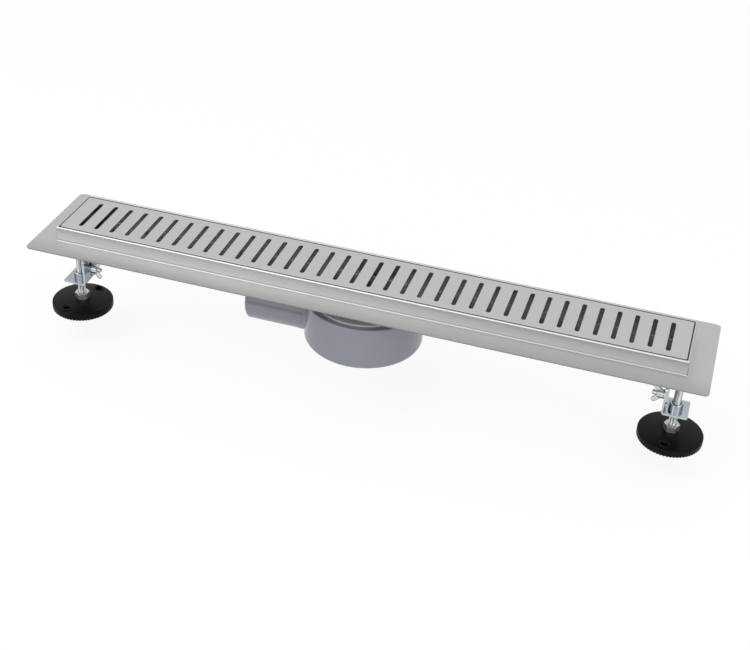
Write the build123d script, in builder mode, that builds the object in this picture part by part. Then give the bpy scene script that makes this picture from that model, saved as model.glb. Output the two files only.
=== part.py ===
from build123d import *
import os

# Linear shower drain, in millimetres. The floor under the feet is z = 0, and the channel runs along X.

# Channel
top_height = 118.6
flange_length = 700.0
flange_width = 124.0
flange_corner = 5.0
end_ledge = 22.9
side_ledge = 24.55
rim_corner = 1.6
upstand_height = 15.9
trough_depth = 26.8
sheet = 1.2
upstand_bend = 1.6
trough_bend = 1.0

# Grate
grate_gap = 1.2
grate_sheet = 1.2
grate_bend = 1.6
slot_length = 50.0
slot_width = 4.5
slot_pitch = 17.43
slot_end_margin = 18.3
skirt_depth = 12.0
grate_leg_width = 20.0
grate_leg_count = 6

# Outlet plate and trap housing
outlet_hole_radius = 29.0
plate_setback = 7.0
plate_thickness = 1.5
trap_setback = 0.5
trap_height = 47.8
trap_wall = 3.0
trap_foot_round = 5.0
trap_rim_round = 1.2
spigot_radius = 25.0
spigot_wall = 2.5
spigot_drop = 25.5
spigot_reach = 122.6
spigot_chamfer = 2.0
spigot_shoulder = 0.3
spigot_shoulder_length = 4.0
gasket_radius = 44.0
gasket_width = 8.0
gasket_thickness = 2.0
weir_radius = 40.0
weir_wall = 2.0
weir_height = 28.3
neck_length = 12.0
neck_wall = 4.0

# Waste flange, dip tube and hair strainer
flange_ring_radius = 32.0
flange_ring_thickness = 2.5
thread_radius = 28.5
waste_wall = 4.0
waste_length = 15.0
insert_seat_depth = 2.0
insert_rim_width = 3.0
insert_rim_thickness = 1.8
insert_collar_length = 9.0
insert_wall = 2.0
insert_bore = 20.0
insert_floor_gap = 7.0
ring_section = 1.0
ring_drop = 5.0
strainer_rim_radius = 23.5
strainer_radius = 19.0
strainer_sheet = 1.0
strainer_depth = 11.0
strainer_hole = 3.0
strainer_hole_pitch = 4.6

# Feet
foot_inset = 3.4
pad_radius = 33.0
pad_edge = 7.0
pad_height = 10.0
pad_top_radius = 27.5
pad_groove_count = 60
pad_groove_depth = 0.9
pad_hole_radius = 3.0
pad_sink_radius = 4.2
pad_hole_circle = 24.6
pad_turns = {"left": 73.0, "right": 81.4}
stud_radius = 4.0
stud_top = 76.0
stud_chamfer = 0.8
stud_head_radius = 6.5
stud_head_thickness = 3.0
stud_head_seat = 5.0
nut_flats = 14.0
nut_height = 6.5
nut_chamfer = 0.4
nut_face = 13.6

# Brackets and their clamps
bracket_height = 35.6
bracket_length = 26.0
bracket_width = 29.0
bracket_sheet = 2.0
bracket_bend = 1.5
bracket_corner = 2.0
leg_top = 68.0
leg_corner = 6.0
bracket_travel = 6.0
bush_radius = 7.0
bush_height = 6.5
bush_spigot_radius = 5.5
bush_chamfer = 0.5
bush_mouth = 1.2
lug_sheet = 2.0
lug_width = 25.0
lug_foot = 20.0
clamp_height = 50.5
clamp_radius = 2.5
clamp_length = 16.5
clamp_head_radius = 4.0
clamp_head_thickness = 1.0
clamp_chamfer = 0.5
washer_radius = 5.0
washer_thickness = 1.0
wing_hub_radius = 5.0
wing_nose_radius = 4.0
wing_hub_length = 7.0
wing_span = 22.0
wing_reach = 11.6
wing_tip_radius = 2.6
wing_root_radius = 3.0
wing_thickness = 2.6
wing_edge = 0.6

# Clearances
seat_clearance = 0.3
turning_clearance = 0.05
press_clearance = 0.02
thread_clearance = 0.1

# Levels and places that follow from the sizes above
rim_length = flange_length - 2 * end_ledge
rim_width = flange_width - 2 * side_ledge
rim_top = top_height
flange_top = rim_top - upstand_height
floor_top = rim_top - trough_depth
floor_under = floor_top - sheet
deck_top = floor_under - plate_thickness
deck_under = deck_top - trap_wall
trap_radius = flange_width / 2 - trap_setback
plate_radius = trap_radius - plate_setback
trap_bottom = deck_top - trap_height
trap_floor = trap_bottom + trap_wall
spigot_height = deck_top - spigot_drop
hem = 2 * sheet
trough_length = rim_length - 2 * hem
trough_width = rim_width - 2 * hem
grate_length = trough_length - 2 * grate_gap
grate_width = trough_width - 2 * grate_gap
grate_leg_pitch = grate_length / grate_leg_count
slot_count = int((grate_length - 2 * slot_end_margin) / slot_pitch) + 1
skirt_bottom = rim_top - skirt_depth
waste_bore = thread_radius - waste_wall
insert_seat = floor_top + flange_ring_thickness - insert_seat_depth
insert_collar = waste_bore - seat_clearance
ring_height = insert_seat - ring_drop
insert_bottom = trap_floor + insert_floor_gap
insert_top = insert_seat + insert_rim_thickness
foot_spacing = rim_length - 2 * foot_inset
leg_face = bracket_length / 2
lug_face = leg_face - bracket_sheet
clamp_start = lug_face - lug_sheet
bracket_top = bracket_height + bracket_sheet
lug_bottom = bracket_top + bracket_travel + bracket_bend + seat_clearance

os.makedirs("parts", exist_ok=True)


def hand_in(builder, name):
    builder.part.label = name
    export_step(builder.part, "parts/" + name + ".step")


# Channel: flange, hemmed upstand and trough, folded from one sheet
with BuildPart() as channel_body:
    with BuildSketch(Plane.XY.offset(flange_top - sheet)):
        RectangleRounded(flange_length, flange_width, flange_corner)
    extrude(amount=sheet)
    with BuildSketch(Plane.XY.offset(flange_top)):
        RectangleRounded(rim_length, rim_width, rim_corner)
    extrude(amount=upstand_height)
    foot_edges = channel_body.edges().filter_by_position(Axis.Z, flange_top, flange_top)
    foot_edges = foot_edges.filter_by_position(Axis.X, -rim_length / 2, rim_length / 2)
    foot_edges = foot_edges.filter_by_position(Axis.Y, -rim_width / 2, rim_width / 2)
    fillet(foot_edges, radius=upstand_bend)
    with BuildSketch(Plane.XY.offset(floor_under)):
        RectangleRounded(trough_length + 2 * sheet, trough_width + 2 * sheet, rim_corner + sheet)
    extrude(amount=flange_top - sheet - floor_under)
    fillet(channel_body.faces().sort_by(Axis.Z)[0].edges(), radius=trough_bend + sheet)
    with BuildSketch(Plane.XY.offset(floor_top)):
        RectangleRounded(trough_length, trough_width, rim_corner)
    extrude(amount=trough_depth, mode=Mode.SUBTRACT)
    pocket_edges = channel_body.edges().filter_by_position(Axis.Z, floor_top, floor_top)
    fillet(pocket_edges, radius=trough_bend)
    rim_edges = channel_body.faces().sort_by(Axis.Z)[-1].edges()
    fillet(rim_edges, radius=hem / 2 - press_clearance)
    with BuildSketch(Plane.XY.offset(floor_top)):
        Circle(outlet_hole_radius)
    extrude(amount=-sheet, mode=Mode.SUBTRACT)
hand_in(channel_body, "channel_body")

# Grate: folded cover with slots, side skirts and legs that stand on the trough floor
with BuildPart() as grate:
    with BuildSketch(Plane.XY.offset(floor_top)):
        RectangleRounded(grate_length, grate_width, rim_corner)
    extrude(amount=trough_depth)
    fillet(grate.faces().sort_by(Axis.Z)[-1].edges(), radius=grate_bend)
    offset(amount=-grate_sheet, openings=grate.faces().sort_by(Axis.Z)[0])
    with BuildSketch(Plane.XZ):
        with Locations((0, (floor_top + skirt_bottom) / 2)):
            Rectangle(grate_length, skirt_bottom - floor_top)
            with GridLocations(grate_leg_pitch, 0, grate_leg_count, 1):
                Rectangle(grate_leg_width, skirt_bottom - floor_top, mode=Mode.SUBTRACT)
    extrude(amount=grate_width, both=True, mode=Mode.SUBTRACT)
    with BuildSketch(Plane.XY.offset(rim_top)):
        with GridLocations(slot_pitch, 0, slot_count, 1):
            SlotOverall(slot_length, slot_width, rotation=90)
    extrude(amount=-2 * grate_sheet, mode=Mode.SUBTRACT)
hand_in(grate, "grate")

# Outlet plate: round plate welded under the trough, lying on the trap's deck
with BuildPart() as outlet_plate:
    with BuildSketch(Plane.XY.offset(deck_top)):
        Circle(plate_radius)
        Circle(outlet_hole_radius, mode=Mode.SUBTRACT)
    extrude(amount=plate_thickness)
hand_in(outlet_plate, "outlet_plate")

# Trap housing: moulded bowl with deck, threaded neck, inner weir and side spigot with a stop shoulder
spigot_end = Plane(origin=(-spigot_reach, 0, spigot_height), x_dir=(0, 1, 0), z_dir=(1, 0, 0))
spigot_root = ((trap_radius - trap_wall) ** 2 - spigot_radius ** 2) ** 0.5
shoulder_reach = trap_radius + spigot_shoulder_length
with BuildPart() as trap_body:
    with BuildSketch(Plane.XY.offset(trap_bottom)):
        Circle(trap_radius)
    extrude(amount=trap_height)
    fillet(trap_body.faces().sort_by(Axis.Z)[0].edges(), radius=trap_foot_round)
    fillet(trap_body.faces().sort_by(Axis.Z)[-1].edges(), radius=trap_rim_round)
    with BuildSketch(spigot_end):
        Circle(spigot_radius)
    extrude(amount=spigot_reach - spigot_root)
    chamfer(trap_body.faces().sort_by(Axis.X)[0].edges(), length=spigot_chamfer)
    with BuildSketch(spigot_end.offset(spigot_reach - shoulder_reach)):
        Circle(spigot_radius + spigot_shoulder)
    extrude(amount=shoulder_reach - spigot_root)
    with BuildSketch(Plane.XY.offset(trap_floor)):
        Circle(trap_radius - trap_wall)
    extrude(amount=deck_under - trap_floor, mode=Mode.SUBTRACT)
    with BuildSketch(Plane.XY.offset(trap_floor)):
        Circle(weir_radius)
        Circle(weir_radius - weir_wall, mode=Mode.SUBTRACT)
    extrude(amount=weir_height)
    with BuildSketch(Plane.XY.offset(deck_top)):
        Circle(thread_radius + thread_clearance + neck_wall)
    extrude(amount=-trap_wall - neck_length)
    with BuildSketch(Plane.XY.offset(deck_top)):
        Circle(thread_radius + thread_clearance)
    extrude(amount=-trap_wall - neck_length, mode=Mode.SUBTRACT)
    with BuildSketch(Plane.XY.offset(deck_top)):
        Circle(gasket_radius + thread_clearance)
        Circle(gasket_radius - gasket_width - thread_clearance, mode=Mode.SUBTRACT)
    extrude(amount=-gasket_thickness, mode=Mode.SUBTRACT)
    with BuildSketch(spigot_end):
        Circle(spigot_radius - spigot_wall)
    extrude(amount=spigot_reach - spigot_root, mode=Mode.SUBTRACT)
hand_in(trap_body, "trap_body")

# Gasket: flat rubber ring in the groove of the trap's deck
with BuildPart() as trap_gasket:
    with BuildSketch(Plane.XY.offset(deck_top - gasket_thickness)):
        Circle(gasket_radius)
        Circle(gasket_radius - gasket_width, mode=Mode.SUBTRACT)
    extrude(amount=gasket_thickness)
hand_in(trap_gasket, "trap_gasket")

# Waste flange: threaded ring that clamps the trough and its plate onto the trap
with BuildPart() as waste_flange:
    with BuildSketch(Plane.XY.offset(floor_top)):
        Circle(flange_ring_radius)
    extrude(amount=flange_ring_thickness)
    fillet(waste_flange.faces().sort_by(Axis.Z)[-1].edges(), radius=flange_ring_thickness / 2)
    with BuildSketch(Plane.XY.offset(floor_top)):
        Circle(thread_radius)
    extrude(amount=-waste_length)
    with BuildSketch(Plane.XY.offset(floor_top - waste_length)):
        Circle(waste_bore)
    extrude(amount=waste_length + flange_ring_thickness, mode=Mode.SUBTRACT)
    with BuildSketch(Plane.XY.offset(insert_seat)):
        Circle(waste_bore + insert_rim_width)
    extrude(amount=insert_seat_depth, mode=Mode.SUBTRACT)
hand_in(waste_flange, "waste_flange")

# Dip tube: lift-out insert whose lower end stands in the water of the trap
with BuildPart() as trap_insert:
    with BuildSketch(Plane.XY.offset(insert_seat)):
        Circle(waste_bore + insert_rim_width - seat_clearance)
    extrude(amount=insert_rim_thickness)
    with BuildSketch(Plane.XY.offset(insert_seat)):
        Circle(insert_collar)
    extrude(amount=-insert_collar_length)
    with BuildSketch(Plane.XY.offset(insert_bottom)):
        Circle(insert_bore + insert_wall)
    extrude(amount=insert_seat - insert_bottom)
    with BuildSketch(Plane.XY.offset(insert_bottom)):
        Circle(insert_bore)
    extrude(amount=insert_top - insert_bottom, mode=Mode.SUBTRACT)
    with BuildSketch(Plane.XY.offset(ring_height - ring_section)):
        Circle(insert_collar)
        Circle(waste_bore - 2 * ring_section, mode=Mode.SUBTRACT)
    extrude(amount=2 * ring_section, mode=Mode.SUBTRACT)
hand_in(trap_insert, "trap_insert")

# O-ring in the dip tube's groove
with BuildPart() as insert_o_ring:
    with BuildSketch(Plane.XZ):
        with Locations((waste_bore - ring_section, ring_height)):
            Circle(ring_section - press_clearance)
    revolve(axis=Axis.Z)
hand_in(insert_o_ring, "insert_o_ring")

# Hair strainer: pressed sieve cup whose rim lies on the dip tube
strainer_bottom = insert_top - strainer_depth
hole_rows = int(2 * (strainer_radius - strainer_hole) / strainer_hole_pitch)
with BuildPart() as hair_strainer:
    with BuildSketch(Plane.XY.offset(insert_top)):
        Circle(strainer_rim_radius)
    extrude(amount=strainer_sheet)
    with BuildSketch(Plane.XY.offset(strainer_bottom)):
        Circle(strainer_radius)
    extrude(amount=strainer_depth)
    with BuildSketch(Plane.XY.offset(strainer_bottom + strainer_sheet)):
        Circle(strainer_radius - strainer_sheet)
    extrude(amount=strainer_depth, mode=Mode.SUBTRACT)
    with BuildSketch(Plane.XY.offset(strainer_bottom)):
        with HexLocations(strainer_hole_pitch / 2, hole_rows, hole_rows, major_radius=False):
            Circle(strainer_hole / 2)
        Circle(strainer_radius - strainer_sheet - strainer_hole / 2, mode=Mode.INTERSECT)
    extrude(amount=strainer_sheet, mode=Mode.SUBTRACT)
hand_in(hair_strainer, "hair_strainer")

# The two feet: local u points outwards along the channel, and v points up
for side, sign in (("left", -1), ("right", 1)):
    foot_origin = (sign * foot_spacing / 2, 0, 0)
    foot_axis = Axis(foot_origin, (0, 0, 1))
    foot_plan = Plane(origin=foot_origin, x_dir=(sign, 0, 0), z_dir=(0, 0, 1))
    foot_side = Plane(origin=foot_origin, x_dir=(sign, 0, 0), z_dir=(0, -sign, 0))
    clamp_origin = (sign * (foot_spacing / 2 - clamp_start), 0, clamp_height)
    clamp_plane = Plane(origin=clamp_origin, x_dir=(0, 0, 1), z_dir=(-sign, 0, 0))

    # Pad: moulded disc with bevelled top, grooved edge, stud socket and two countersunk screw holes
    with BuildPart() as foot_pad:
        with BuildSketch(foot_side):
            with BuildLine():
                Polyline(
                    (0, 0),
                    (pad_radius, 0),
                    (pad_radius, pad_edge),
                    (pad_top_radius, pad_height),
                    (0, pad_height),
                    close=True,
                )
            make_face()
        revolve(axis=foot_axis)
        with BuildSketch(foot_plan):
            with PolarLocations(pad_radius, pad_groove_count):
                RegularPolygon(pad_groove_depth, 4)
        extrude(amount=pad_edge, mode=Mode.SUBTRACT)
        with BuildSketch(foot_plan):
            Circle(stud_radius + turning_clearance)
        extrude(amount=pad_height, mode=Mode.SUBTRACT)
        with BuildSketch(foot_plan):
            Circle(stud_head_radius + seat_clearance)
        extrude(amount=stud_head_seat, mode=Mode.SUBTRACT)
        with Locations(foot_plan.offset(pad_height)):
            with PolarLocations(pad_hole_circle, 2, start_angle=pad_turns[side]):
                CounterSinkHole(pad_hole_radius, pad_sink_radius, depth=pad_height)
    hand_in(foot_pad, side + "_foot_pad")

    # Stud: threaded rod whose round head is held in the pad's socket
    with BuildPart() as levelling_stud:
        with BuildSketch(foot_plan.offset(stud_head_seat - stud_head_thickness)):
            Circle(stud_head_radius)
        extrude(amount=stud_head_thickness)
        with BuildSketch(foot_plan.offset(stud_head_seat)):
            Circle(stud_radius)
        extrude(amount=stud_top - stud_head_seat)
        chamfer(levelling_stud.faces().sort_by(Axis.Z)[-1].edges(), length=stud_chamfer)
    hand_in(levelling_stud, side + "_levelling_stud")

    # Nut: hexagon with turned-off corners, locked on the stud above the pad
    nut_corner = nut_flats / 3 ** 0.5
    with BuildPart() as stud_nut:
        with BuildSketch(foot_plan.offset(pad_height)):
            RegularPolygon(nut_corner, 6)
        extrude(amount=nut_height)
        with BuildSketch(foot_side):
            with BuildLine():
                Polyline(
                    (0, pad_height),
                    (nut_face / 2, pad_height),
                    (nut_corner, pad_height + nut_chamfer),
                    (nut_corner, pad_height + nut_height - nut_chamfer),
                    (nut_face / 2, pad_height + nut_height),
                    (0, pad_height + nut_height),
                    close=True,
                )
            make_face()
        revolve(axis=foot_axis, mode=Mode.INTERSECT)
        with BuildSketch(foot_plan.offset(pad_height)):
            Circle(stud_radius + press_clearance)
        extrude(amount=nut_height, mode=Mode.SUBTRACT)
    hand_in(stud_nut, side + "_stud_nut")

    # Bracket: folded angle, its plate round the stud and its slotted leg towards the channel's middle
    with BuildPart() as foot_bracket:
        with BuildSketch(foot_plan.offset(bracket_height)):
            Rectangle(bracket_length, bracket_width)
        extrude(amount=bracket_sheet)
        with BuildSketch(foot_side):
            with Locations((-leg_face, bracket_height)):
                Rectangle(bracket_sheet, leg_top - bracket_height, align=(Align.MIN, Align.MIN))
        extrude(amount=bracket_width / 2, both=True)
        fold_inside = foot_side.from_local_coords((-lug_face, bracket_top, 0))
        fold_outside = foot_side.from_local_coords((-leg_face, bracket_height, 0))
        plate_end = foot_side.from_local_coords((leg_face, bracket_height, 0))
        fold_edge = foot_bracket.edges().filter_by(Axis.Y).sort_by_distance(fold_inside)[0]
        fillet(fold_edge, radius=bracket_bend)
        fold_edge = foot_bracket.edges().filter_by(Axis.Y).sort_by_distance(fold_outside)[0]
        fillet(fold_edge, radius=bracket_bend + bracket_sheet)
        fillet(foot_bracket.edges().filter_by(Axis.Z).sort_by_distance(plate_end)[:2], radius=bracket_corner)
        fillet(foot_bracket.edges().filter_by(Axis.X).sort_by(Axis.Z)[-2:], radius=leg_corner)
        with BuildSketch(foot_plan.offset(bracket_height)):
            Circle(bush_spigot_radius + press_clearance)
        extrude(amount=bracket_sheet, mode=Mode.SUBTRACT)
        with BuildSketch(clamp_plane):
            SlotCenterToCenter(2 * (bracket_travel + seat_clearance), 2 * (clamp_radius + seat_clearance))
        extrude(amount=lug_sheet + 2 * bracket_sheet, mode=Mode.SUBTRACT)
    hand_in(foot_bracket, side + "_foot_bracket")

    # Bush: threaded sleeve riveted into the bracket's plate
    with BuildPart() as bracket_bush:
        with BuildSketch(foot_plan.offset(bracket_top)):
            Circle(bush_radius)
        extrude(amount=bush_height)
        chamfer(bracket_bush.faces().sort_by(Axis.Z)[-1].edges(), length=bush_chamfer)
        with BuildSketch(foot_plan.offset(bracket_height)):
            Circle(bush_spigot_radius)
        extrude(amount=bracket_sheet)
        with BuildSketch(foot_plan.offset(bracket_height)):
            Circle(stud_radius + turning_clearance)
        extrude(amount=bracket_sheet + bush_height, mode=Mode.SUBTRACT)
        chamfer(bracket_bush.faces().sort_by(Axis.Z)[-1].inner_wires()[0].edges(), length=bush_mouth)
    hand_in(bracket_bush, side + "_bracket_bush")

    # Lug: folded strip welded under the trough, its tab lying against the bracket's leg
    with BuildPart() as bracket_lug:
        with BuildSketch(foot_side):
            with Locations((-clamp_start, floor_under)):
                Rectangle(lug_sheet, floor_under - lug_bottom, align=(Align.MAX, Align.MAX))
                Rectangle(lug_foot, lug_sheet, align=(Align.MAX, Align.MAX))
        extrude(amount=lug_width / 2, both=True)
        fold_inside = foot_side.from_local_coords((-lug_face, floor_under - lug_sheet, 0))
        fold_outside = foot_side.from_local_coords((-clamp_start, floor_under, 0))
        fold_edge = bracket_lug.edges().filter_by(Axis.Y).sort_by_distance(fold_inside)[0]
        fillet(fold_edge, radius=bracket_bend)
        fold_edge = bracket_lug.edges().filter_by(Axis.Y).sort_by_distance(fold_outside)[0]
        fillet(fold_edge, radius=bracket_bend + lug_sheet)
        fillet(bracket_lug.edges().filter_by(Axis.X).sort_by(Axis.Z)[:2], radius=leg_corner)
        with BuildSketch(clamp_plane):
            Circle(clamp_radius + press_clearance)
        extrude(amount=lug_sheet, mode=Mode.SUBTRACT)
        with BuildSketch(clamp_plane):
            Circle(clamp_head_radius + press_clearance)
        extrude(amount=clamp_head_thickness, mode=Mode.SUBTRACT)
    hand_in(bracket_lug, side + "_bracket_lug")

    # Clamp stud: pressed into the lug with a flush head, threaded for the wing nut
    with BuildPart() as clamp_stud:
        with BuildSketch(clamp_plane):
            Circle(clamp_head_radius)
        extrude(amount=clamp_head_thickness)
        with BuildSketch(clamp_plane):
            Circle(clamp_radius)
        extrude(amount=clamp_length)
        stud_tip = clamp_stud.faces().filter_by(Axis.X).sort_by_distance((0, 0, clamp_height))[0]
        chamfer(stud_tip.edges(), length=clamp_chamfer)
    hand_in(clamp_stud, side + "_clamp_stud")

    # Washer between the bracket's leg and the wing nut
    washer_plane = clamp_plane.offset(lug_sheet + bracket_sheet)
    with BuildPart() as clamp_washer:
        with BuildSketch(washer_plane):
            Circle(washer_radius)
            Circle(clamp_radius + thread_clearance, mode=Mode.SUBTRACT)
        extrude(amount=washer_thickness)
    hand_in(clamp_washer, side + "_clamp_washer")

    # Wing nut: tapered hub with two wings that lean away from the leg
    wing_plane = washer_plane.offset(washer_thickness)
    wing_side = Plane(origin=wing_plane.origin, x_dir=wing_plane.z_dir, z_dir=(0, sign, 0))
    wing_tip_height = wing_span / 2 - wing_tip_radius
    wing_tip_place = wing_reach - wing_tip_radius
    with BuildPart() as wing_nut:
        with BuildSketch(wing_plane):
            Circle(wing_hub_radius)
        with BuildSketch(wing_plane.offset(wing_hub_length)):
            Circle(wing_nose_radius)
        loft()
        for wing in (-1, 1):
            with BuildSketch(wing_side):
                with Locations((wing_tip_place, wing * wing_tip_height)):
                    Circle(wing_tip_radius)
                with Locations((wing_hub_length / 2, wing * wing_root_radius / 2)):
                    Circle(wing_root_radius)
                make_hull()
            extrude(amount=wing_thickness / 2, both=True)
        tip_edges = wing_nut.edges().filter_by(GeomType.CIRCLE).sort_by_distance(clamp_origin)[-4:]
        fillet(tip_edges, radius=wing_edge)
        with BuildSketch(wing_plane):
            Circle(clamp_radius + turning_clearance)
        extrude(amount=wing_reach, mode=Mode.SUBTRACT)
    hand_in(wing_nut, side + "_wing_nut")
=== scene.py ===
import bpy
import numpy as np
from mathutils import Matrix


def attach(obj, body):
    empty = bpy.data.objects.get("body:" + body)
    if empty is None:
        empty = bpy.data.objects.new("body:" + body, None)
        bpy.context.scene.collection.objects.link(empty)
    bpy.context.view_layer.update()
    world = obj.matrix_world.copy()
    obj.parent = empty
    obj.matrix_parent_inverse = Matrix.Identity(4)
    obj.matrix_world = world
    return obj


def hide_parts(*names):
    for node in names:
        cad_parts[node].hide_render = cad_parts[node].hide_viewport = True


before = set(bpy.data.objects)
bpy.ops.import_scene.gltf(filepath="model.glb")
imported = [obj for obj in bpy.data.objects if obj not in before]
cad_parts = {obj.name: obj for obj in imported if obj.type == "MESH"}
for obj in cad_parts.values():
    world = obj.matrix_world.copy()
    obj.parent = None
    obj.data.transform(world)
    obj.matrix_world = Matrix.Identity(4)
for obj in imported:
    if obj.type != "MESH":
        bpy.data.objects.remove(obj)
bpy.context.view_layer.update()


# Channel: one stainless sheet, folded into a trough with a doubled rim, an upstand and a wide flange
# for the waterproofing membrane. Its corners are welded and dressed flush. The satin sheet keeps its
# fine lengthwise grain. A highlight is painted brighter on the front upstand and rim, and painted shade
# makes the front flange darker towards its edge.
def start_group(name, inputs, outputs):
    """An empty node group with a Place vector, float inputs and float outputs."""
    group = bpy.data.node_groups.new(name, "ShaderNodeTree")
    group.interface.new_socket("Place", in_out="INPUT", socket_type="NodeSocketVector")
    for label, value in inputs.items():
        socket = group.interface.new_socket(label, in_out="INPUT", socket_type="NodeSocketFloat")
        socket.default_value = value
    for label in outputs:
        group.interface.new_socket(label, in_out="OUTPUT", socket_type="NodeSocketFloat")
    return group, group.nodes.new("NodeGroupInput"), group.nodes.new("NodeGroupOutput")


def noise(tree, place, scale, detail=3.0, rough=0.55):
    """A noise texture read at a place, its scale a number or another node's output."""
    texture = tree.nodes.new("ShaderNodeTexNoise")
    texture.inputs["Detail"].default_value = detail
    texture.inputs["Roughness"].default_value = rough
    tree.links.new(place, texture.inputs["Vector"])
    if isinstance(scale, (int, float)):
        texture.inputs["Scale"].default_value = scale
    else:
        tree.links.new(scale, texture.inputs["Scale"])
    return texture.outputs["Fac"]


def spread(tree, value, low, high, to_low=0.0, to_high=1.0):
    """Map Range: value from low..high to to_low..to_high, held at both ends."""
    ranged = tree.nodes.new("ShaderNodeMapRange")
    for label, number in zip(("From Min", "From Max", "To Min", "To Max"), (low, high, to_low, to_high)):
        ranged.inputs[label].default_value = number
    tree.links.new(value, ranged.inputs["Value"])
    return ranged.outputs["Result"]


def mixed(tree, share, first, second):
    """Colour between two colours by a share from another node; each is a fixed colour or an output."""
    mix = tree.nodes.new("ShaderNodeMix")
    mix.data_type = "RGBA"
    for socket, colour in ((mix.inputs["A"], first), (mix.inputs["B"], second)):
        if isinstance(colour, tuple):
            socket.default_value = (*colour, 1)
        else:
            tree.links.new(colour, socket)
    tree.links.new(share, mix.inputs["Factor"])
    return mix.outputs["Result"]


def reckoned(tree, operation, first, second):
    """Math node on an output and an output or number."""
    sum_node = tree.nodes.new("ShaderNodeMath")
    sum_node.operation = operation
    tree.links.new(first, sum_node.inputs[0])
    if isinstance(second, (int, float)):
        sum_node.inputs[1].default_value = second
    else:
        tree.links.new(second, sum_node.inputs[1])
    return sum_node.outputs["Value"]


def bumped(tree, height, distance, strength):
    """A Bump node's normal for a height from another node, distance in metres."""
    bump = tree.nodes.new("ShaderNodeBump")
    bump.inputs["Distance"].default_value = distance
    bump.inputs["Strength"].default_value = strength
    tree.links.new(height, bump.inputs["Height"])
    return bump.outputs["Normal"]


def new_finish(name, metallic, ior=1.5):
    """A material with its Principled shader and the Object coordinates its pattern reads."""
    finish = bpy.data.materials.new(name)
    finish.use_nodes = True
    shader = finish.node_tree.nodes["Principled BSDF"]
    shader.inputs["Metallic"].default_value = metallic
    shader.inputs["IOR"].default_value = ior
    place = finish.node_tree.nodes.new("ShaderNodeTexCoord").outputs["Object"]
    return finish, finish.node_tree, shader, place


def surfaced(tree, shader, tone, matt, normal):
    """Links a finish's colour, roughness and normal into its shader."""
    for label, source in (("Base Color", tone), ("Roughness", matt), ("Normal", normal)):
        tree.links.new(source, shader.inputs[label])


def placed_group(tree, group, place, **values):
    """A group set into a material at a place, with that material's own values."""
    node = tree.nodes.new("ShaderNodeGroup")
    node.node_tree = group
    tree.links.new(place, node.inputs["Place"])
    for label, value in values.items():
        node.inputs[label].default_value = value
    return node.outputs


def dress(finish, *nodes):
    """Gives solids of the frame a finish."""
    for node in nodes:
        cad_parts[node].material_slots[0].material = finish


# Rolled grain: noise stretched along the sheet, coarse streaks and fine scratches.
rolled_grain, grain_in, grain_out = start_group(
    "rolled_grain", {"Along": 6.0, "Across": 500.0}, ("Streak", "Scratch"))
stretch = rolled_grain.nodes.new("ShaderNodeCombineXYZ")
for axis, share in (("X", "Along"), ("Y", "Across"), ("Z", "Across")):
    rolled_grain.links.new(grain_in.outputs[share], stretch.inputs[axis])
stretched = rolled_grain.nodes.new("ShaderNodeVectorMath")
stretched.operation = "MULTIPLY"
rolled_grain.links.new(grain_in.outputs["Place"], stretched.inputs[0])
rolled_grain.links.new(stretch.outputs["Vector"], stretched.inputs[1])
for label, scale, detail, rough in (("Streak", 1.0, 4.0, 0.6), ("Scratch", 4.0, 2.0, 0.7)):
    lines = noise(rolled_grain, stretched.outputs["Vector"], scale, detail, rough)
    rolled_grain.links.new(lines, grain_out.inputs[label])

# Handling marks: soft clouds where hands and wiping have dulled a surface.
marks_span = (0.35, 0.7)
handling_marks, marks_in, marks_out = start_group("handling_marks", {"Size": 20.0}, ("Mask",))
marks_noise = noise(handling_marks, marks_in.outputs["Place"], marks_in.outputs["Size"], 5.0, 0.6)
handling_marks.links.new(spread(handling_marks, marks_noise, *marks_span), marks_out.inputs["Mask"])

# Painted rim light, ahead of a line across Y: a painted highlight above a height, and painted shade that
# grows darker further out.
rubbed_fade, front_fade, dulled_from, dulled_to = 0.0007, 0.0006, 0.002, 0.026
worn_edge, edge_in, edge_out = start_group("worn_edge", {"Height": 1.0, "Ahead": -1.0}, ("Rubbed", "Dulled"))
edge_place = worn_edge.nodes.new("ShaderNodeSeparateXYZ")
worn_edge.links.new(edge_in.outputs["Place"], edge_place.inputs["Vector"])
over = reckoned(worn_edge, "SUBTRACT", edge_place.outputs["Z"], edge_in.outputs["Height"])
ahead = reckoned(worn_edge, "SUBTRACT", edge_in.outputs["Ahead"], edge_place.outputs["Y"])
rubbed = reckoned(worn_edge, "MULTIPLY", spread(worn_edge, over, -rubbed_fade, 0.0),
                  spread(worn_edge, ahead, 0.0, front_fade))
worn_edge.links.new(rubbed, edge_out.inputs["Rubbed"])
worn_edge.links.new(spread(worn_edge, ahead, dulled_from, dulled_to), edge_out.inputs["Dulled"])

# Tone and gloss of the painted highlight, and the share of the dark tone kept in the painted shade.
rubbed_tone, rubbed_gloss, dulled_share = (0.69, 0.685, 0.68), 0.04, 0.84
scratch_matt, scratch_depth, marks_size, marks_matt = 0.04, 0.00002, 18.0, 0.04
streak_span, scratch_span = (0.3, 0.7), (0.2, 0.8)


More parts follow.
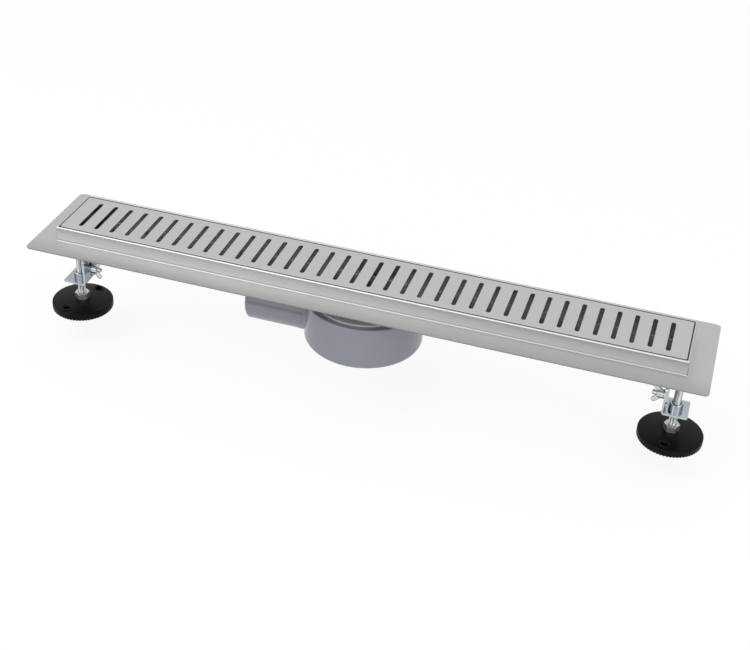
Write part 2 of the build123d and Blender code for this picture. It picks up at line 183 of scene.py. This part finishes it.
def stainless(name, dark, light, along, across, roughness, scratch, metallic=1.0, rubbed_above=1.0,
              front=-1.0):
    """Satin stainless: streaked tone, scratched roughness and bump, dulled by handling. Ahead of the front
    line a painted highlight brightens it and it is smoother above a height, and painted shade darkens it
    towards its edge."""
    finish, tree, shader, place = new_finish(name, metallic)
    grain = placed_group(tree, rolled_grain, place, Along=along, Across=across)
    marks = placed_group(tree, handling_marks, place, Size=marks_size)
    worn = placed_group(tree, worn_edge, place, Height=rubbed_above, Ahead=front)
    tone = mixed(tree, spread(tree, grain["Streak"], *streak_span), dark, light)
    # Painted shade darkens the tone ahead of the front line, then a painted highlight brightens it above a
    # height.
    tone = mixed(tree, worn["Dulled"], tone, tuple(dulled_share * part for part in dark))
    tone = mixed(tree, worn["Rubbed"], tone, rubbed_tone)
    matt = spread(tree, grain["Scratch"], *scratch_span, roughness - scratch_matt, roughness + scratch_matt)
    matt = reckoned(tree, "ADD", matt, spread(tree, marks["Mask"], 0.0, 1.0, 0.0, marks_matt))
    matt = reckoned(tree, "SUBTRACT", matt, reckoned(tree, "MULTIPLY", worn["Rubbed"], rubbed_gloss))
    surfaced(tree, shader, tone, matt, bumped(tree, grain["Scratch"], scratch_depth, scratch))
    return finish


# The front line and height set where the channel's painted highlight and painted shade fall.
channel_steel = stainless(
    "channel_steel", dark=(0.475, 0.47, 0.465), light=(0.515, 0.51, 0.505), along=4.0, across=900.0,
    roughness=0.36, scratch=0.2, rubbed_above=0.1052, front=-0.0348)
dress(channel_steel, "channel_body")


# Outlet plate: a round stainless plate welded under the trough, pickled after welding, so it is
# matt and pale. The strainer is a perforated stainless cup that lifts out.
plate_steel = stainless(
    "plate_steel", dark=(0.64, 0.64, 0.63), light=(0.70, 0.70, 0.69), along=60.0, across=60.0,
    roughness=0.5, scratch=0.3, metallic=0.35)
dress(plate_steel, "outlet_plate")
dress(channel_steel, "hair_strainer")


# Trap housing: a bowl with its side spigot, injection moulded in grey polypropylene.
# It is clamped up against the outlet plate, and its skin is finely eroded, a little glossy.
moulded_skin, skin_in, skin_out = start_group("moulded_skin", {"Grain": 900.0}, ("Grain", "Cloud"))
for label, scale, detail in (("Grain", skin_in.outputs["Grain"], 2.0), ("Cloud", 14.0, 3.0)):
    lumps = noise(moulded_skin, skin_in.outputs["Place"], scale, detail)
    moulded_skin.links.new(lumps, skin_out.inputs[label])
wiped_size, wiped_matt, skin_strength, cloud_span = 30.0, 0.08, 0.5, (0.3, 0.7)


def moulded(name, dark, light, grain, roughness, depth, ior=1.5):
    """Moulded plastic or rubber: faint cloudy tone, fine eroded grain in bump, wiped patches in gloss."""
    finish, tree, shader, place = new_finish(name, 0.0, ior)
    skin = placed_group(tree, moulded_skin, place, Grain=grain)
    marks = placed_group(tree, handling_marks, place, Size=wiped_size)
    tone = mixed(tree, spread(tree, skin["Cloud"], *cloud_span), dark, light)
    matt = spread(tree, marks["Mask"], 0.0, 1.0, roughness, roughness + wiped_matt)
    surfaced(tree, shader, tone, matt, bumped(tree, skin["Grain"], depth, skin_strength))
    return finish


trap_plastic = moulded("trap_plastic", dark=(0.228, 0.236, 0.280), light=(0.243, 0.252, 0.299), grain=1400.0,
                       roughness=0.08, depth=0.00001, ior=1.65)
dress(trap_plastic, "trap_body", "waste_flange", "trap_insert")
bowl_radius, spigot_radius, spigot_level = 61.5, 25.3, 63.6
fillet_radius, fillet_from, fillet_to, fillet_ease = 3.5, 34, 125, 22


def mesh_from(name, patches, crease=40):
    """A mesh object from grids of points in millimetres: quads between neighbouring rows and columns.
    A patch says whether its columns close on themselves; points that coincide become one. Edges sharper
    than the crease angle stay sharp."""
    points, quads, count = [], [], 0
    for grid, closed in patches:
        rows, columns = grid.shape[:2]
        index = np.arange(rows * columns).reshape(rows, columns) + count
        index = np.hstack([index, index[:, :1]]) if closed else index
        corners = (index[:-1, :-1], index[:-1, 1:], index[1:, 1:], index[1:, :-1])
        quads.append(np.stack(corners, axis=-1).reshape(-1, 4))
        points.append(grid.reshape(-1, 3))
        count += rows * columns
    points = np.vstack(points)
    keys = np.round(points * 1000).astype(np.int64)
    first, merged = np.unique(keys, axis=0, return_index=True, return_inverse=True)[1:]
    quads = merged.reshape(-1)[np.vstack(quads)]
    repeated = quads == np.roll(quads, -1, axis=1)
    tips = repeated.sum(axis=1) == 1
    faces = quads[~repeated.any(axis=1)].tolist() + quads[tips][~repeated[tips]].reshape(-1, 3).tolist()
    mesh = bpy.data.meshes.new(name)
    mesh.from_pydata((points[first] * 0.001).tolist(), [], faces)
    mesh.polygons.foreach_set("use_smooth", np.ones(len(mesh.polygons), bool))
    mesh.set_sharp_from_angle(angle=np.radians(crease))
    piece = bpy.data.objects.new(name, mesh)
    bpy.context.collection.objects.link(piece)
    return piece


def join_fillet(side):
    """A ball rolled along the join of spigot and bowl: rows sweep its contact from spigot to bowl,
    columns go round the spigot, and the ball shrinks to nothing at the bowl's rim and foot."""
    around = np.radians(np.linspace(fillet_from, fillet_to, 40))
    ease = np.clip((np.degrees(around) - fillet_from) / fillet_ease, 0, 1)
    ease = ease * np.clip((fillet_to - np.degrees(around)) / fillet_ease, 0, 1)
    ball = fillet_radius * ease * ease * (3 - 2 * ease)
    y = side * (spigot_radius + ball) * np.sin(around)
    z = spigot_level + (spigot_radius + ball) * np.cos(around)
    x = -np.sqrt((bowl_radius + ball) ** 2 - y ** 2)
    to_spigot = np.stack([0 * x, -side * np.sin(around), -np.cos(around)], -1)
    to_bowl = np.stack([-x, -y, 0 * x], -1) / (bowl_radius + ball)[:, None]
    sweep = np.linspace(0, 1, 9)[:, None, None]
    way = (1 - sweep) * to_spigot + sweep * to_bowl
    way = way / np.linalg.norm(way, axis=-1, keepdims=True)
    return np.stack([x, y, z], -1) + ball[:, None] * way


fillet = mesh_from("spigot_fillet", [(join_fillet(1)[:, ::-1], False), (join_fillet(-1), False)], crease=80)
fillet.data.materials.append(trap_plastic)
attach(fillet, "channel")


# Seals: the flat gasket clamped between outlet plate and trap, and the O-ring in the dip tube's groove.
# Both are moulded in soft black rubber, matt all over.
seal_rubber = moulded("seal_rubber", dark=(0.018, 0.018, 0.019), light=(0.03, 0.03, 0.031), grain=2200.0,
                      roughness=0.6, depth=0.00004)
dress(seal_rubber, "trap_gasket", "insert_o_ring")


# Bracket lugs, brackets and bushes: pressed steel strip and turned steel, zinc plated.
# The plating is passivated, which leaves a bluish cast with faint cloudy bloom.
sides = {"left": -1, "right": 1}
pit_grain, pit_matt, pit_depth, pit_span = 2500.0, 0.05, 0.00002, (0.2, 0.8)
film_blend, film_from, film_to = 0.5, 0.25, 0.85


def plated(name, face, cloud, edge, bloom, roughness, pitting=0.3, metallic=1.0):
    """Zinc plating: tone that drifts in clouds, with painted shade that turns it darker where the surface is
    seen aslant in place of dark reflections; bright and slightly uneven gloss over fine pits."""
    finish, tree, shader, place = new_finish(name, metallic)
    marks = placed_group(tree, handling_marks, place, Size=bloom)
    skin = placed_group(tree, moulded_skin, place, Grain=pit_grain)
    # A facing weight mixes in the edge tone: painted shade where the surface is seen aslant, in place of dark
    # reflections.
    film = tree.nodes.new("ShaderNodeLayerWeight")
    film.inputs["Blend"].default_value = film_blend
    aslant = spread(tree, film.outputs["Facing"], film_from, film_to)
    tone = mixed(tree, aslant, mixed(tree, marks["Mask"], face, cloud), edge)
    matt = spread(tree, skin["Grain"], *pit_span, roughness - pit_matt, roughness + pit_matt)
    surfaced(tree, shader, tone, matt, bumped(tree, skin["Grain"], pit_depth, pitting))
    return finish


# The edge tone is painted shade, seen where the plating is aslant.
blue_zinc = plated("blue_zinc", face=(0.56, 0.60, 0.63), cloud=(0.47, 0.52, 0.56), edge=(0.06, 0.09, 0.13),
                   bloom=120.0, roughness=0.10)
for side in sides:
    dress(blue_zinc, side + "_foot_bracket", side + "_bracket_bush", side + "_bracket_lug")


# Clamp: an M5 stud pressed into the lug, a washer and a cast wing nut that draws the bracket's leg
# against the lug. All bright zinc plated, the wings rounded by their casting.
# The edge tone is painted shade, seen where the plating is aslant.
bright_zinc = plated("bright_zinc", face=(0.68, 0.69, 0.69), cloud=(0.58, 0.59, 0.59),
                     edge=(0.16, 0.17, 0.19), bloom=200.0, roughness=0.18)
clamp_seat, clamp_level = 309.7, 50.5
hub_profile = [(2.55, 0.3), (2.9, 0), (4.6, 0), (5.0, 0.4), (4.95, 2.0), (4.3, 6.0), (4.0, 6.6), (3.4, 7.0),
               (2.9, 7.0), (2.55, 6.7), (2.55, 0.3)]
wing_root, root_radius = np.array((4.2, 3.0)), 2.9
wing_tip, tip_radius = np.array((9.0, 8.4)), 2.6
wing_edge, wing_round, wing_middle = 0.4, 0.9, 1.25


def lathe(profile, columns):
    """A profile of radius and height carried once round the Z axis, as a grid of points."""
    turn = np.linspace(0, 2 * np.pi, columns + 1)[:-1]
    radius, height = np.array(profile, float).T
    x = radius[:, None] * np.cos(turn)
    y = radius[:, None] * np.sin(turn)
    return np.stack([x, y, height[:, None] + 0 * x], -1)


def wing(up):
    """A blade round a spine from hub to tip: its outline is a circle at each end and the tangents between,
    drawn in by the rounding towards both faces; rows go through the thickness, columns round the outline."""
    turn = np.linspace(0, 2 * np.pi, 49)[:-1]
    spine = wing_tip - wing_root
    at_tip = (np.cos(turn) * spine[0] + np.sin(turn) * spine[1] > 0)[:, None]
    centre = np.where(at_tip, wing_tip, wing_root)
    reach = np.where(at_tip, tip_radius, root_radius)
    bend = np.radians(np.linspace(0, 90, 5))
    inset = np.r_[0, wing_round - wing_round * np.sin(bend), wing_round - wing_round * np.cos(bend), 0]
    thick = np.r_[-wing_middle, -wing_edge - wing_round * np.cos(bend), wing_edge + wing_round * np.sin(bend),
                  wing_middle]
    outwards = np.stack([np.cos(turn), np.sin(turn)], -1)
    flat = centre + (reach - inset[:, None, None]) * outwards
    flat[[0, -1]] = centre
    return np.stack([up * flat[..., 1], thick[:, None] + 0 * flat[..., 0], flat[..., 0]], -1)


def on_clamp(grid, sign):
    """Lays a grid made along Z onto the clamp's axis: Z runs towards the middle, X runs up."""
    x = sign * (clamp_seat - grid[..., 2])
    return np.stack([x, sign * grid[..., 1], clamp_level + grid[..., 0]], -1)


for side, sign in sides.items():
    forms = [on_clamp(form, sign) for form in (lathe(hub_profile, 40), wing(1), wing(-1)[:, ::-1])]
    nut = mesh_from(side + "_cast_wing_nut", [(form, True) for form in forms])
    nut.data.materials.append(bright_zinc)
    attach(nut, side + "_wing")
    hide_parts(side + "_wing_nut")
    dress(bright_zinc, side + "_clamp_stud", side + "_clamp_washer")


# Foot pads: low domes moulded in black plastic with a grooved edge for turning by hand.
# Two countersunk holes take floor screws, each in a raised boss; the stud's head turns in a socket below.
pad_plastic = moulded("pad_plastic", dark=(0.004, 0.004, 0.004), light=(0.006, 0.006, 0.006), grain=1200.0,
                      roughness=0.27, depth=0.00003, ior=1.18)
foot_x, holes_turned = 323.7, {"left": 73.0, "right": 81.4}
pad_radius, pad_height, pad_fall, pad_flat, pad_shoulder, sole_edge = 33.0, 10.0, 2.6, 9.0, 1.2, 0.5
pad_bore, socket_radius, socket_depth = 4.25, 6.75, 5.0
groove_count, groove_depth, groove_top, groove_end = 60, 0.9, 5.4, 6.0
hole_circle, hole_radius, hole_edge, skin_bottom, skin_top = 24.6, 3.0, 0.1, 4.0, 4.4
sink_radius, sink_edge, boss_radius, boss_top, boss_draft = 4.2, 0.2, 5.4, 9.4, 0.8
hole_rows_from, hole_rows_to, hole_rows_step, dome_rows = 18.3, 31.0, 0.35, (15.0, 12.0)


def moulded_pad(centre_x, turned):
    """Height over radius and turn: a dome that falls with the 1.5th power of the radius to a rounded shoulder
    and a wall with V grooves. Round each screw hole a boss stands up and the hole dips, from above and below,
    to a thin skin. Rows go from the bore under the pad, up the wall and in over the top."""
    turn = np.linspace(0, 2 * np.pi, 361)[:-1]
    fine = np.arange(hole_rows_from, hole_rows_to, hole_rows_step)
    bend = np.radians(np.linspace(0, 90, 5))
    edge = pad_radius - pad_shoulder
    socket = np.r_[pad_bore, pad_bore, socket_radius, socket_radius]
    outside = np.r_[pad_radius - sole_edge, np.full(3, pad_radius)]
    radius = np.r_[socket, fine, outside, edge + pad_shoulder * np.cos(bend), fine[::-1], dome_rows, pad_flat,
                   pad_bore]
    dome = pad_height - pad_fall * np.clip((radius - pad_flat) / (pad_radius - pad_flat), 0, 1) ** 1.5
    rim = pad_height - pad_fall * ((edge - pad_flat) / (pad_radius - pad_flat)) ** 1.5 - pad_shoulder
    wall = np.r_[pad_height, socket_depth, socket_depth, 0, 0 * fine, 0, sole_edge, groove_top, groove_end,
                 rim + pad_shoulder * np.sin(bend)]
    row, wall_row = np.arange(len(radius)), len(socket) + len(fine)
    below = (row >= len(socket)) & (row < wall_row)
    above = row >= len(wall)
    height = np.r_[wall, dome[above]][:, None] + 0 * turn
    grooved = (row >= wall_row) & (row < wall_row + 3)
    pitch = 2 * np.pi / groove_count
    arc = pad_radius * np.abs((turn + pitch / 2) % pitch - pitch / 2)
    reach = radius[:, None] - grooved[:, None] * np.clip(groove_depth - arc, 0, None)
    x, y = reach * np.cos(turn), reach * np.sin(turn)
    hole_x, hole_y = hole_circle * np.cos(np.radians(turned)), hole_circle * np.sin(np.radians(turned))
    off = np.minimum(np.hypot(x - hole_x, y - hole_y), np.hypot(x + hole_x, y + hole_y))
    hole_wall = (hole_radius - hole_edge, hole_radius + hole_edge)
    boss = np.interp(off, (boss_radius, boss_radius + boss_draft), (boss_top, 0))
    sink = np.interp(off, (*hole_wall, sink_radius, sink_radius + sink_edge),
                     (skin_top, boss_top - sink_radius + hole_radius, boss_top, 2 * pad_height))
    height = np.where(above[:, None], np.minimum(np.maximum(height, boss), sink), height)
    height = np.where(below[:, None], np.interp(off, hole_wall, (skin_bottom, 0)), height)
    return np.stack([centre_x + x, y, height], -1)


for side, sign in sides.items():
    pad = mesh_from(side + "_moulded_pad", [(moulded_pad(sign * foot_x, holes_turned[side]), True)])
    pad.data.materials.append(pad_plastic)
    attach(pad, side + "_foot")
    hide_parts(side + "_foot_pad")


# Levelling studs and their nuts: M8 rod with a rolled thread, its round head held in the pad,
# and a hexagon nut locked on it for the spanner. Steel, bright zinc plated, duller on the nuts.
# The edge tone is painted shade, seen where the plating is aslant.
nut_zinc = plated("nut_zinc", face=(0.66, 0.67, 0.67), cloud=(0.58, 0.59, 0.59), edge=(0.30, 0.31, 0.32),
                  bloom=200.0, roughness=0.18, pitting=0.1, metallic=0.78)
rod_radius, thread_pitch, thread_depth, thread_slope, thread_crest = 4.0, 1.25, 0.6, 1.5, 0.25
head_radius, head_bottom, head_top = 6.5, 2.0, 5.0
thread_bottom, rod_top, rod_chamfer = 9.0, 76.0, 0.8
nut_bottom, nut_top, nut_flat, nut_turned = 10.0, 17.6, 7.0, {"left": 30.0, "right": 0.0}
nut_bore, nut_mouth, mouth_depth, cone_radius, cone_slope = 4.05, 4.4, 0.4, 6.8, 1.75


def threaded_rod(centre_x):
    """Radius over turn and height: rod radius less a triangular dip that climbs one pitch per turn,
    flat at crest and root. The head is two rows at its own radius, and a row on the axis closes each end."""
    turn = np.linspace(0, 2 * np.pi, 33)[:-1]
    thread_height = np.arange(thread_bottom, rod_top + 0.001, thread_pitch / 8)
    height = np.r_[head_bottom, head_bottom, head_top, head_top, thread_height, rod_top]
    plain = np.r_[0, head_radius, head_radius, rod_radius, np.full(len(thread_height), rod_radius), 0]
    phase = (height[:, None] / thread_pitch - turn / (2 * np.pi)) % 1
    dip = np.clip(thread_slope * np.abs(2 * phase - 1) - thread_crest, 0, 1) * thread_depth
    threaded = (height >= thread_bottom + thread_pitch)[:, None] & (plain == rod_radius)[:, None]
    radius = plain[:, None] - np.where(threaded, dip, 0)
    radius = np.minimum(radius, np.maximum(rod_top - height + rod_radius - rod_chamfer, 0)[:, None])
    radius = np.where((plain > 0)[:, None], radius, 0)
    x = centre_x + radius * np.cos(turn)
    return np.stack([x, radius * np.sin(turn), height[:, None] + 0 * x], axis=-1)


def hexagon_nut(centre_x, turned):
    """Radius over turn and height: the hexagon's flat, cut back by a 30 degree cone at both ends.
    The rows close through the bore."""
    turn = np.linspace(0, 2 * np.pi, 97)[:-1]
    flat = nut_flat / np.cos((turn - np.radians(turned)) % (np.pi / 3) - np.pi / 6)
    steps = np.array((0, 0.1, 0.2, 0.3, 0.42, 0.56, 0.75))
    cone = cone_radius + cone_slope * steps
    height = np.r_[nut_bottom, nut_bottom + steps, (nut_top - steps)[::-1], nut_top, nut_top - mouth_depth,
                   nut_bottom + mouth_depth, nut_bottom]
    widest = np.r_[nut_mouth, cone, cone[::-1], nut_mouth, nut_bore, nut_bore, nut_mouth]
    radius = np.minimum(flat, widest[:, None])
    x = centre_x + radius * np.cos(turn)
    return np.stack([x, radius * np.sin(turn), height[:, None] + 0 * x], axis=-1)


for side, sign in sides.items():
    rod, hexagon = threaded_rod(sign * foot_x), hexagon_nut(sign * foot_x, nut_turned[side])
    for name, grid, node, finish in (("_threaded_rod", rod, "_levelling_stud", bright_zinc),
                                     ("_hexagon_nut", hexagon, "_stud_nut", nut_zinc)):
        part = mesh_from(side + name, [(grid, True)], crease=35)
        part.data.materials.append(finish)
        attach(part, side + "_stud")
        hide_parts(side + node)


# Grate: the cover that lies in the trough, folded from brushed stainless with a row of punched slots.
# The punch leaves each slot's upper edge rolled in; the folded skirt stands on six legs a side.
cover_steel = stainless("cover_steel", dark=(0.495, 0.49, 0.485), light=(0.535, 0.53, 0.525), along=3.0,
                        across=900.0, roughness=0.33, scratch=0.25)
cover_half_length, cover_half_width, cover_corner = 323.8, 33.2, 1.6
cover_top, cover_sheet, cover_bend, cover_land = 118.2, 1.2, 0.4, 0.2
skirt_bottom, skirt_edge, leg_bottom, leg_pitch, leg_half = 106.6, 1, 91.8, 107.8333, 10.0
slot_count, slot_pitch, slot_radius, slot_reach, die_roll = 36, 17.43, 2.25, 22.75, 0.35
slot_steps = 16
slot_corner = slot_steps // 4
cover_under = cover_top - cover_sheet
straight_x, straight_y = cover_half_length - cover_corner, cover_half_width - cover_corner
quarter = np.radians(np.linspace(0, 90, 6))


def slot_cell(middle):
    """A slot with its share of the sheet: columns go round it; rows cross the top from the share's
    rectangle to the slot, roll in over the edge, go down the wall and back along the underside."""
    turn = np.radians(np.r_[np.linspace(0, 180, slot_steps + 1), np.linspace(180, 360, slot_steps + 1)])
    end = np.repeat((slot_reach, -slot_reach), slot_steps + 1)
    way = np.stack([np.cos(turn), np.sin(turn)], -1)
    share = way / np.abs(way).max(axis=1, keepdims=True) * (slot_pitch / 2, straight_y - slot_reach)
    radius = slot_radius + np.r_[die_roll + cover_land, die_roll * (1 - np.sin(quarter)), 0]
    flat = np.concatenate([share[None], radius[:, None, None] * way, share[None]])
    height = np.r_[0, 0, die_roll * (1 - np.cos(quarter)), cover_sheet, cover_sheet]
    x = middle + flat[..., 0]
    return np.stack([x, flat[..., 1] + end, cover_top - height[:, None] + 0 * x], -1)


def cover_border(long_x, end_y):
    """The folded border carried round the cover: rows go from the underside down the skirt's inner side,
    under its edge, up its outer side and over the bend to the top. On a leg the edge reaches the floor."""
    fan, ends = quarter[1:-1], (straight_x, straight_x, -straight_x, -straight_x)
    counts = np.array((len(end_y), len(fan), len(long_x), len(fan)) * 2)
    base_x = np.concatenate([np.repeat(ends[:2], counts[:2]), long_x[::-1], np.repeat(ends[2:], counts[3:5]),
                             np.repeat(ends[2], counts[5]), long_x, np.repeat(ends[0], counts[7])])
    base_y = np.concatenate([end_y, np.repeat(straight_y, counts[1:4].sum()), end_y[::-1],
                             np.repeat(-straight_y, counts[5:].sum())])
    facing = np.repeat(np.pi / 2 * np.repeat(np.arange(4), 2), counts)
    facing[np.repeat(np.arange(8) % 2 == 1, counts)] += np.tile(fan, 4)
    off_leg = (base_x / leg_pitch % 1 - 0.5) * leg_pitch
    on_leg = (np.abs(off_leg) < leg_half) & (np.abs(np.sin(facing)) > 0.999)
    at_side = (on_leg != np.roll(on_leg, 1)) | (on_leg != np.roll(on_leg, -1))
    low_x = np.where(at_side, base_x - off_leg + leg_half * np.sign(off_leg), base_x)
    inset = np.r_[cover_corner, cover_sheet, cover_sheet, cover_sheet, 0, 0, 0,
                  cover_bend * (1 - np.cos(quarter)), cover_bend + cover_land, cover_corner]
    height = np.r_[cover_under, cover_under, skirt_bottom + skirt_edge, 0, 0, skirt_bottom + skirt_edge,
                   cover_top - cover_bend - cover_land, cover_top - cover_bend * (1 - np.sin(quarter)),
                   cover_top, cover_top]
    edge = (height == 0)[:, None]
    x = np.where(edge, low_x, base_x) + (cover_corner - inset)[:, None] * np.cos(facing)
    y = base_y + (cover_corner - inset)[:, None] * np.sin(facing)
    return np.stack([x, y, np.where(edge, np.where(on_leg, leg_bottom, skirt_bottom), height[:, None])], -1)


def end_strip(first_x, second_x, height, end_y):
    """The plain sheet between the last slot's share and the border: two rows of points at one height."""
    x = np.array((first_x, second_x))[:, None] + 0 * end_y
    return np.stack([x, end_y + 0 * x, height + 0 * x], -1)


cells = [slot_cell((number - (slot_count - 1) / 2) * slot_pitch) for number in range(slot_count)]
long_x = np.unique(np.round([cell[0, slot_corner:3 * slot_corner + 1, 0] for cell in cells], 6))
first_end = cells[0][0, :slot_corner + 1, 1]
end_y = np.unique(np.round(np.r_[first_end, -first_end], 6))
last_x = slot_count * slot_pitch / 2
border = cover_border(np.r_[-straight_x, long_x, straight_x], end_y)
strips = [end_strip(*strip, end_y) for strip in (
    (straight_x, last_x, cover_top), (-last_x, -straight_x, cover_top),
    (last_x, straight_x, cover_under), (-straight_x, -last_x, cover_under))]
cover = mesh_from("slotted_cover", [(grid, True) for grid in cells + [border]]
                  + [(strip, False) for strip in strips])
cover.data.materials.append(cover_steel)
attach(cover, "channel")
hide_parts("grate")


# Studio: a pale floor, just under the feet at their lowest reach, that shows white with a soft shadow, and
# an even white surround. A large soft key stands at the upper left, weaker lamps at the right and in front,
# and dark cards draw the edges of glossy pieces. The camera stands where the photo was taken from.
floor_level, floor_half, floor_tone, floor_matt = -0.0363, 6.0, 0.9, 0.9
glow_strength, lens_glow, gloss_glow = 1.08, 0.78, 0.62
card_tone, surround_strength, backdrop_strength = 0.03, 0.6, 1.0
lamp_aim = (0, 0, 0.06)


def ray_is(tree, *kinds):
    """1 for rays of any of these kinds, else 0."""
    path = tree.nodes.new("ShaderNodeLightPath")
    most = path.outputs[kinds[0]]
    for kind in kinds[1:]:
        most = reckoned(tree, "MAXIMUM", most, path.outputs[kind])
    return most


def flat_sheet(name, corners, finish):
    """A flat sheet between four corners in metres."""
    mesh = bpy.data.meshes.new(name)
    mesh.from_pydata(corners, [], [(0, 1, 2, 3)])
    mesh.materials.append(finish)
    sheet = bpy.data.objects.new(name, mesh)
    bpy.context.collection.objects.link(sheet)
    return sheet


floor_paint = bpy.data.materials.new("floor_paint")
floor_paint.use_nodes = True
floor_tree = floor_paint.node_tree
paper = floor_tree.nodes["Principled BSDF"]
paper.inputs["Base Color"].default_value = (floor_tone, floor_tone, floor_tone, 1)
paper.inputs["Roughness"].default_value = floor_matt
glow = floor_tree.nodes.new("ShaderNodeEmission")
glow.inputs["Color"].default_value = (1, 1, 1, 1)
glow.inputs["Strength"].default_value = glow_strength
lens_ray = ray_is(floor_tree, "Is Camera Ray", "Is Transmission Ray")
lens_share = reckoned(floor_tree, "MULTIPLY", lens_ray, lens_glow)
gloss_share = reckoned(floor_tree, "MULTIPLY", ray_is(floor_tree, "Is Glossy Ray"), gloss_glow)
blend = floor_tree.nodes.new("ShaderNodeMixShader")
floor_tree.links.new(reckoned(floor_tree, "MAXIMUM", lens_share, gloss_share), blend.inputs["Fac"])
floor_tree.links.new(paper.outputs["BSDF"], blend.inputs[1])
floor_tree.links.new(glow.outputs["Emission"], blend.inputs[2])
floor_tree.links.new(blend.outputs["Shader"], floor_tree.nodes["Material Output"].inputs["Surface"])
floor_corners = [(x * floor_half, y * floor_half, floor_level)
                 for x, y in ((-1, -1), (1, -1), (1, 1), (-1, 1))]
floor = flat_sheet("floor", floor_corners, floor_paint)

card_paint = bpy.data.materials.new("card_paint")
card_paint.use_nodes = True
card_shader = card_paint.node_tree.nodes["Principled BSDF"]
card_shader.inputs["Base Color"].default_value = (card_tone, card_tone, card_tone, 1)
for name, corners in (
        ("front_card", [(-1.6, -0.8, 0.0), (1.6, -0.8, 0.0), (1.6, -0.22, 0.0), (-1.6, -0.22, 0.0)]),
        ("right_card", [(1.3, -0.9, 0.0), (1.3, 0.7, 0.0), (1.3, 0.7, 0.7), (1.3, -0.9, 0.7)])):
    card = flat_sheet(name, corners, card_paint)
    card.visible_camera = card.visible_diffuse = card.visible_shadow = card.visible_transmission = False

world = bpy.data.worlds.new("studio")
bpy.context.scene.world = world
world.use_nodes = True
world_tree = world.node_tree
surround = world_tree.nodes["Background"]
surround.inputs["Color"].default_value = (1, 1, 1, 1)
surround.inputs["Strength"].default_value = surround_strength
backdrop = world_tree.nodes.new("ShaderNodeBackground")
backdrop.inputs["Color"].default_value = (1, 1, 1, 1)
backdrop.inputs["Strength"].default_value = backdrop_strength
seen = ray_is(world_tree, "Is Camera Ray", "Is Glossy Ray", "Is Transmission Ray")
chosen = world_tree.nodes.new("ShaderNodeMixShader")
world_tree.links.new(seen, chosen.inputs["Fac"])
world_tree.links.new(surround.outputs["Background"], chosen.inputs[1])
world_tree.links.new(backdrop.outputs["Background"], chosen.inputs[2])
world_tree.links.new(chosen.outputs["Shader"], world_tree.nodes["World Output"].inputs["Surface"])


def soft_lamp(name, place, size, watts):
    """A square area lamp at a place, facing the object's middle."""
    lamp = bpy.data.lights.new(name, "AREA")
    lamp.size = size
    lamp.energy = watts
    stand = bpy.data.objects.new(name, lamp)
    back = np.array(place) - np.array(lamp_aim)
    back = back / np.linalg.norm(back)
    across = np.cross((0, 0, 1), back)
    across = across / np.linalg.norm(across)
    facing = Matrix(np.stack([across, np.cross(back, across), back], 1)).to_4x4()
    stand.matrix_world = Matrix.Translation(place) @ facing
    bpy.context.collection.objects.link(stand)


soft_lamp("key", place=(-1.0, -1.3, 1.9), size=1.6, watts=14.0)
soft_lamp("fill", place=(1.6, -0.9, 1.2), size=1.2, watts=2.5)
soft_lamp("front", place=(1.2, -2.1, 0.8), size=3.2, watts=17.0)

camera = bpy.data.objects.new("camera", bpy.data.cameras.new("camera"))
camera.data.lens = 64.158
camera.data.sensor_width = 36.0
camera_place = (0.31143, -1.09482, 0.83145)
lens_right = (0.95342313, 0.2972382, 0.05132045)
lens_up = (-0.2083919, 0.52608185, 0.82450634)
lens_back = (0.21807602, -0.79679818, 0.56352064)
lens_turn = Matrix(np.stack([lens_right, lens_up, lens_back], 1)).to_4x4()
camera.matrix_world = Matrix.Translation(camera_place) @ lens_turn
bpy.context.collection.objects.link(camera)
bpy.context.scene.camera = camera
bpy.context.scene.view_settings.view_transform = "Standard"
